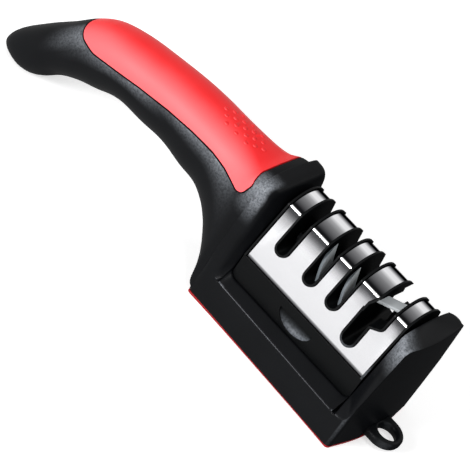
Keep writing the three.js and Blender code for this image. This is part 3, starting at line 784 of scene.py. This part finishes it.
def core():
    """The band with its notches, the filling under the sheet and the lips that frame the slots."""
    band = block("band", cartridge_back, cartridge_front, -cartridge_half, cartridge_half,
                 cartridge_bottom, band_top)
    inner = prism("inner", "x", cover_section(sheet + gap, band_top - overrun),
                  cartridge_back, cartridge_front)
    proud = prism("proud", "x", cover_section(-lip_proud, band_top), cartridge_back, cartridge_front)
    ends = [block("end", a, b, -half, half, band_top, top_of_all) for a, b in (
        (cartridge_back - overrun, cartridge_back + lip),
        (cartridge_front - lip, cartridge_front + overrun))]
    lips = keep(join(*slot_cuts(lip), *ends), proud)
    pocket = block("pocket", cartridge_back + scissor_slot_left, cartridge_back + scissor_mouth_right,
                   -scissor_pocket_width / 2, scissor_pocket_width / 2, scissor_pocket_bottom, scissor_roof)
    hollow = block("hollow", cartridge_back + core_wall, cartridge_front - core_wall,
                   core_wall - cartridge_half, cartridge_half - core_wall,
                   cartridge_bottom - overrun, hollow_top)
    return cut(join(band, inner, lips), *slot_cuts(0), pocket, hollow, notch(-1), notch(1))


def chrome_sheet():
    outer = prism("outer", "x", cover_section(0, band_top + gap), chrome_back, chrome_front)
    inner = prism("inner", "x", cover_section(sheet, band_top - overrun), chrome_back - overrun,
                  chrome_front + overrun)
    return cut(outer, inner, *slot_cuts(lip + gap))


# Materials
edge_samples = 6


class Look:
    """A node material under construction: short calls for its nodes and links."""

    def __init__(self, name):
        self.material = bpy.data.materials.new(name)
        self.material.use_nodes = True
        self.tree = self.material.node_tree
        self.shader = self.tree.nodes["Principled BSDF"]

    def node(self, kind, **values):
        made = self.tree.nodes.new("ShaderNode" + kind)
        for key, value in values.items():
            if hasattr(made, key) and key not in made.inputs:
                setattr(made, key, value)
            else:
                made.inputs[key].default_value = value
        return made

    def link(self, source, target, output=0):
        self.tree.links.new(source.outputs[output], target)

    def set(self, **values):
        for key, value in values.items():
            self.shader.inputs[key.replace("_", " ")].default_value = value
        return self

    def axis(self, name, kind="Object"):
        """One coordinate of the place, or of the face's direction, in the piece's own frame."""
        parts = self.node("SeparateXYZ")
        self.link(self.node("TexCoord"), parts.inputs[0], kind)
        made = self.node("Math", operation="ADD")
        made.inputs[1].default_value = 0
        self.link(parts, made.inputs[0], name)
        return made

    def noise(self, scale, detail=2, rough=0.5, stretch=(1, 1, 1)):
        """Noise in the piece's own frame, drawn out along its axes by a stretch."""
        place = self.node("Mapping")
        place.inputs["Scale"].default_value = stretch
        self.link(self.node("TexCoord"), place.inputs["Vector"], "Object")
        made = self.node("TexNoise", Scale=scale, Detail=detail, Roughness=rough)
        self.link(place, made.inputs["Vector"])
        return made

    def ramp(self, source, stops):
        """A colour for each value of the source, blended between stops [value, colour]."""
        made = self.node("ValToRGB")
        self.link(source, made.inputs["Fac"])
        band = made.color_ramp
        band.elements.remove(band.elements[1])
        band.elements[0].position = stops[0][0]
        band.elements[0].color = (*stops[0][1], 1)
        for place, colour in stops[1:]:
            band.elements.new(place).color = (*colour, 1)
        return made

    def span(self, source, low, high, from_low=0, from_high=1):
        """The source's values from one range, held to it, laid over another."""
        made = self.node("MapRange")
        ends = {"From Min": from_low, "From Max": from_high, "To Min": low, "To Max": high}
        for name, value in ends.items():
            made.inputs[name].default_value = value
        self.link(source, made.inputs["Value"])
        return made

    def mask(self, source, none, full):
        """Nought to one with a soft start and end, as the source goes from none to full."""
        made = self.span(source, 0, 1, none, full)
        made.interpolation_type = "SMOOTHSTEP"
        return made

    def bump(self, source, strength, distance, edge=0):
        """Relief from a height, over edges that are rounded by a small radius."""
        made = self.node("Bump", Strength=strength, Distance=distance * MM)
        self.link(source, made.inputs["Height"])
        if edge:
            self.link(self.node("Bevel", samples=edge_samples, Radius=edge * MM), made.inputs["Normal"])
        for socket in ("Normal", "Coat Normal"):
            self.link(made, self.shader.inputs[socket])


def srgb(red, green, blue):
    def one(c):
        c /= 255
        return c / 12.92 if c <= 0.04045 else ((c + 0.055) / 1.055) ** 2.4
    return tuple(one(c) for c in (red, green, blue))


patch_noise = (60, 3)
grain_noise = (2600, 2, 0.6)
grain_depth = 0.05
# The grain in the painted sheen, a painted highlight on the black plastics
painted_sheen_noise = (1100, 4, 0.7)
painted_sheen_grain = (0.35, 1, 0.35, 0.62)
patch_tones = (0.3, 0.7)
patch_roughness = (-0.04, 0.05)


def painted_sheen_over(look, paint, colour, zones):
    """A grained painted highlight over the paint; each mask of a zone says [space, axis, none at, full at].
    """
    def joined(one, other, operation="MULTIPLY"):
        step = look.node("Math", operation=operation)
        look.link(one, step.inputs[0])
        look.link(other, step.inputs[1])
        return step

    grain = look.span(look.noise(*painted_sheen_noise), *painted_sheen_grain)
    share = None
    for zone in zones:
        total = grain
        for space, name, none, full in zone:
            total = joined(total, look.mask(look.axis(name, space), none, full))
        share = joined(share, total, "MAXIMUM") if share else total
    mix = look.node("MixRGB")
    look.link(share, mix.inputs["Fac"])
    look.link(paint, mix.inputs["Color1"])
    mix.inputs["Color2"].default_value = (*colour, 1)
    return mix


def grained(name, gloss, roughness, grain, edge):
    """A look with patches in its roughness, a fine grain and soft edges; with it, its patches."""
    look = Look(name)
    look.set(Specular_IOR_Level=gloss)
    patches = look.noise(*patch_noise)
    rough = look.span(patches, *(roughness + swing for swing in patch_roughness))
    look.link(rough, look.shader.inputs["Roughness"])
    look.bump(look.noise(*grain_noise), grain, grain_depth, edge)
    return look, patches, rough


end_facing = (0.35, 0.8)
least_coat_share = 1 / 6


def plastic(name, colour, variation, roughness, grain, gloss=0.5, coat=0, edge=0.3, painted_sheen=None):
    """Moulded plastic or rubber, patched in colour, with any painted sheen; a coat is thinner on faces
    along the length.
    """
    look, patches, rough = grained(name, gloss, roughness, grain, edge)
    tones = [tuple(min(1, c * (1 + change)) for c in colour) for change in (-variation, variation)]
    paint = look.ramp(patches, list(zip(patch_tones, tones)))
    look.link(painted_sheen_over(look, paint, *painted_sheen) if painted_sheen else paint, look.shader.inputs["Base Color"])
    if coat:
        look.link(rough, look.shader.inputs["Coat Roughness"])
        thinned = look.span(look.axis("X", "Normal"), coat, coat * least_coat_share, *end_facing)
        look.link(thinned, look.shader.inputs["Coat Weight"])
    return look.material


patch_shift = 0.25


def painted_light_by_facing(name, near, far, turn, roughness, grain, gloss, edge=0.3):
    """Rubber or stone whose colour holds painted light: one tone on faces turned to one side, another on
    the rest.
    """
    look, patches, _ = grained(name, gloss, roughness, grain, edge)
    shifted = look.node("Math", operation="MULTIPLY_ADD")
    shifted.inputs[1].default_value = patch_shift
    look.link(patches, shifted.inputs[0])
    look.link(look.axis("Y", "Normal"), shifted.inputs[2])
    side = look.mask(shifted, *(place + patch_shift / 2 for place in turn))
    look.link(look.ramp(side, [(0, near), (1, far)]), look.shader.inputs["Base Color"])
    return look.material


# The chrome's painted reflections, as grey tones from its near edge to its far edge: place across the part,
# tone
chrome_reflection_paint = (
    (-18, 60), (-17.75, 80), (-17.6, 184), (-15.8, 183), (-14.2, 178), (-12.8, 168), (-11.8, 144),
    (-11.2, 100), (-10.8, 66), (-10.45, 54), (-10.35, 250), (-10, 250), (-9.9, 14), (-8.9, 26), (-7.4, 84),
    (-5.2, 120), (-3.2, 162), (-1.2, 230), (1, 228), (2.8, 150), (4.8, 62), (6.8, 20), (9.6, 10),
    (10.6, 60), (18, 216),
)
chrome_blue = 2
brushed_noise = (900, 2, 0.5, (0.15, 4, 4))
brushed_roughness = (0.06, 0.14)
brushed_relief = (0.012, 0.01)


def chrome_with_painted_reflections():
    """Polished sheet with painted reflections: white low on its sides, dark under the fold, a painted
    highlight along it and bright over the arch.
    """
    look = Look("chrome")
    low = chrome_width / 2 * MM
    spread = look.span(look.axis("Y"), 0, 1, -low, low)
    # Base colour and specular tint both carry the painted reflections
    painted = look.ramp(spread, [
        (y / chrome_width + 0.5, srgb(tone, tone, min(255, tone + chrome_blue)))
        for y, tone in chrome_reflection_paint])
    for socket in ("Base Color", "Specular Tint"):
        look.link(painted, look.shader.inputs[socket])
    look.set(Metallic=1)
    brushed = look.noise(*brushed_noise)
    look.link(look.span(brushed, *brushed_roughness), look.shader.inputs["Roughness"])
    look.bump(brushed, *brushed_relief)
    return look.material


streak_noise = (400, 2, 0.6)
streak_roughness = (0.8, 1.3)
streak_depth = 0.02


def metal(name, colour, roughness, grain=0.2):
    look = Look(name)
    streaks = look.noise(*streak_noise)
    look.set(Metallic=1, Base_Color=(*colour, 1))
    rough = look.span(streaks, *(roughness * share for share in streak_roughness))
    look.link(rough, look.shader.inputs["Roughness"])
    look.bump(streaks, grain, streak_depth)
    return look.material


# Where the black has its painted sheen, a painted highlight, places in metres: along the handle's seam,
# more so near the tip; on the near upper corners; up the end wall's near edge; along the ridge round the
# foot; and in the notch
near_side = ("Normal", "Y", -0.25, -0.55)
head_only = ("Object", "X", -0.051, -0.044)
shell_sheen_paint_zones = [
    [near_side, ("Normal", "Z", -0.04, 0.4), ("Object", "X", -0.155, -0.13),
     ("Object", "X", -0.044, -0.064)],
    [near_side, ("Normal", "Z", -0.13, 0.24), ("Object", "X", -0.148, -0.116),
     ("Object", "X", -0.088, -0.112)],
    [head_only, ("Normal", "X", 0.55, 0.1), ("Normal", "Y", 0.3, 0), ("Object", "Y", -0.007, -0.018),
     ("Object", "Z", 0.038, 0.055)],
    [near_side, ("Normal", "X", 0.15, 0.5), ("Normal", "X", 0.92, 0.7), ("Object", "X", 0.03, 0.04),
     ("Object", "Z", -0.01, 0.075)],
    [near_side, head_only, ("Normal", "Z", 0.12, 0.4), ("Normal", "Z", 0.85, 0.6),
     ("Object", "Z", 0.0128, 0.0134), ("Object", "Z", 0.0148, 0.0142)],
]
notch_sheen_paint_zones = [
    [near_side, ("Normal", "Z", 0.08, 0.55), ("Object", "Z", 0.036, 0.032), ("Object", "X", -0.01, 0.001)],
]
# Both blacks take a grey painted sheen, a painted highlight, in the zones above
black = plastic("black_plastic", srgb(13, 14, 16), 0.15, 0.3, 0.25, gloss=0, coat=0.14, edge=1.2,
                painted_sheen=(srgb(134, 138, 144), shell_sheen_paint_zones))
inner_black = plastic("inner_black", srgb(9, 10, 11), 0.12, 0.32, 0.2, gloss=0, coat=0.14,
                      painted_sheen=(srgb(104, 108, 114), notch_sheen_paint_zones))
foot_red = plastic("foot_rubber", srgb(150, 12, 20), 0.08, 0.6, 0.3, gloss=0.3)
pale_ceramic = plastic("pale_ceramic", srgb(206, 211, 214), 0.05, 0.5, 0.3)
# The red cover's near faces are paler pink: a painted sheen
red = painted_light_by_facing("red_rubber", srgb(242, 94, 98), srgb(234, 14, 20), (-0.85, 0), 0.5, 0.3, 0.35)
# On the stones the near faces are painted darker, a painted shade, and the other faces pale, a painted
# light
diamond = painted_light_by_facing("diamond", srgb(96, 103, 108), srgb(216, 222, 226), (-0.7, -0.2), 0.5, 0.8, 0.3)
ceramic = painted_light_by_facing("ceramic", srgb(100, 106, 111), srgb(226, 231, 234), (-0.7, -0.2), 0.5, 0.3, 0.3)
chrome = chrome_with_painted_reflections()
steel = metal("steel", srgb(150, 152, 155), 0.3)
carbide = metal("carbide", srgb(70, 72, 75), 0.35)

finishes = {
    "housing": black, "grip_cover": red, "base_plate": black, "foot_pad": foot_red,
    "cartridge_core": black, "chrome_cover": chrome, "cartridge_bottom": black,
    "stone_carrier": black, "scissor_plate": pale_ceramic,
    "carbide_blade_front": carbide, "carbide_blade_rear": carbide,
    "diamond_plate_front": diamond, "diamond_plate_rear": diamond,
    "ceramic_plate_front": ceramic, "ceramic_plate_rear": ceramic,
}
block_edge = 0.3
plate_edge = 0.12
soft_edges = {
    "cartridge_bottom": block_edge, "stone_carrier": block_edge, "scissor_plate": plate_edge,
    "diamond_plate_front": plate_edge, "diamond_plate_rear": plate_edge,
    "ceramic_plate_front": plate_edge, "ceramic_plate_rear": plate_edge,
    "carbide_blade_front": plate_edge, "carbide_blade_rear": plate_edge,
}
smooth_angle = math.radians(32)
edge_angle = math.radians(40)
edge_steps = 3


def put_on(target, material):
    target.data.materials.clear()
    target.data.materials.append(material)
    target.data.shade_smooth()
    target.data.set_sharp_from_angle(angle=smooth_angle)


for name, node in nodes.items():
    if name in soft_edges:
        edge = node.modifiers.new("edges", "BEVEL")
        edge.width = soft_edges[name] * MM
        edge.segments = edge_steps
        edge.limit_method = "ANGLE"
        edge.angle_limit = edge_angle
        edge.use_clamp_overlap = True
    put_on(node, finishes.get(name, steel))


# Finer pieces take the place of the plain solids
def dress(made, name, material, body, *stands_for):
    made.name = name
    made.data.name = name
    put_on(made, material)
    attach(made, body)
    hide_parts(*stands_for)


dress(housing(), "shell", black, "cradle", "housing")
dress(cover(), "grip_top", red, "cradle", "grip_cover")
dress(foot(), "foot", foot_red, "cradle", "foot_pad")
dress(base(), "base", black, "cradle", "base_plate")
dress(core(), "core", inner_black, "cartridge", "cartridge_core")
dress(chrome_sheet(), "bright_sheet", chrome, "cartridge", "chrome_cover")


# The camera stands where the photograph was taken
picture_width = 470
focal_length = 3000
sensor_width = 36
camera_turns = (19.99, 35.83, 34.83)
camera_aim = (-46.13, 0, 17.08)
camera_distance = 1142.12
clip_metres = (0.01, 20)


def camera():
    data = bpy.data.cameras.new("camera")
    made = bpy.data.objects.new("camera", data)
    bpy.context.scene.collection.objects.link(made)
    data.sensor_width = sensor_width
    data.lens = sensor_width * focal_length / picture_width
    yaw, elevation, roll = (math.radians(a) for a in camera_turns)
    right = Vector((math.cos(yaw), math.sin(yaw), 0))
    forward = Vector((
        -math.sin(yaw) * math.cos(elevation), math.cos(yaw) * math.cos(elevation), -math.sin(elevation)))
    up = right.cross(forward)
    across = right * math.cos(roll) + up * math.sin(roll)
    above = up * math.cos(roll) - right * math.sin(roll)
    turn = Matrix((across, above, -forward)).transposed()
    spot = (Vector(camera_aim) - forward * camera_distance) * MM
    made.matrix_world = Matrix.Translation(spot) @ turn.to_4x4()
    data.clip_start, data.clip_end = clip_metres
    bpy.context.scene.camera = made


camera()


# Square lamps that face the middle of the part: direction, distance and size in metres, power
lamp_aim = (-30, 0, 25)
lamps = {
    "key": ((-0.28, -0.86, 0.36), 2.5, 0.8, 64),
    "top": ((0.42, -0.42, 0.8), 1.5, 0.4, 5),
    "rim": ((0.6, 0.8, 0.7), 1.5, 0.4, 2),
}
for name, (direction, distance, size, power) in lamps.items():
    data = bpy.data.lights.new(name, "AREA")
    data.size = size
    data.energy = power
    made = bpy.data.objects.new(name, data)
    bpy.context.scene.collection.objects.link(made)
    out = Vector(direction).normalized()
    made.location = Vector(lamp_aim) * MM + out * distance
    made.rotation_euler = (-out).to_track_quat("-Z", "Y").to_euler()


# A pale floor and a white studio: what is seen behind the object and mirrored in it is white
def seen(tree):
    """One where a ray comes from the camera, a mirror or through a clear piece, else nought."""
    path = tree.nodes.new("ShaderNodeLightPath")
    total = path.outputs["Is Camera Ray"]
    for name in ("Is Glossy Ray", "Is Transmission Ray"):
        step = tree.nodes.new("ShaderNodeMath")
        step.operation = "MAXIMUM"
        tree.links.new(total, step.inputs[0])
        tree.links.new(path.outputs[name], step.inputs[1])
        total = step.outputs[0]
    return step


world_light = 0.38
floor_reach = 3000
floor_drop = 0.1
floor_white = 0.8
floor_roughness = 0.9
floor_gloss = 0.1
floor_glow = 0.54


def studio():
    world = bpy.data.worlds.new("world")
    bpy.context.scene.world = world
    world.use_nodes = True
    tree = world.node_tree
    soft = tree.nodes["Background"]
    soft.inputs["Color"].default_value = (1, 1, 1, 1)
    soft.inputs["Strength"].default_value = world_light
    white = tree.nodes.new("ShaderNodeBackground")
    white.inputs["Color"].default_value = (1, 1, 1, 1)
    mix = tree.nodes.new("ShaderNodeMixShader")
    tree.links.new(seen(tree).outputs[0], mix.inputs["Fac"])
    tree.links.new(soft.outputs[0], mix.inputs[1])
    tree.links.new(white.outputs[0], mix.inputs[2])
    tree.links.new(mix.outputs[0], tree.nodes["World Output"].inputs["Surface"])

    corners = [(sx * floor_reach, sy * floor_reach, -floor_drop)
               for sx, sy in ((-1, -1), (1, -1), (1, 1), (-1, 1))]
    floor = piece("floor", corners, [(0, 1, 2, 3)])
    look = Look("floor")
    look.set(Base_Color=(floor_white, floor_white, floor_white, 1), Emission_Color=(1, 1, 1, 1),
             Roughness=floor_roughness, Specular_IOR_Level=floor_gloss)
    look.link(look.span(seen(look.tree), 0, floor_glow), look.shader.inputs["Emission Strength"])
    floor.data.materials.append(look.material)


studio()
bpy.context.scene.view_settings.view_transform = "Standard"
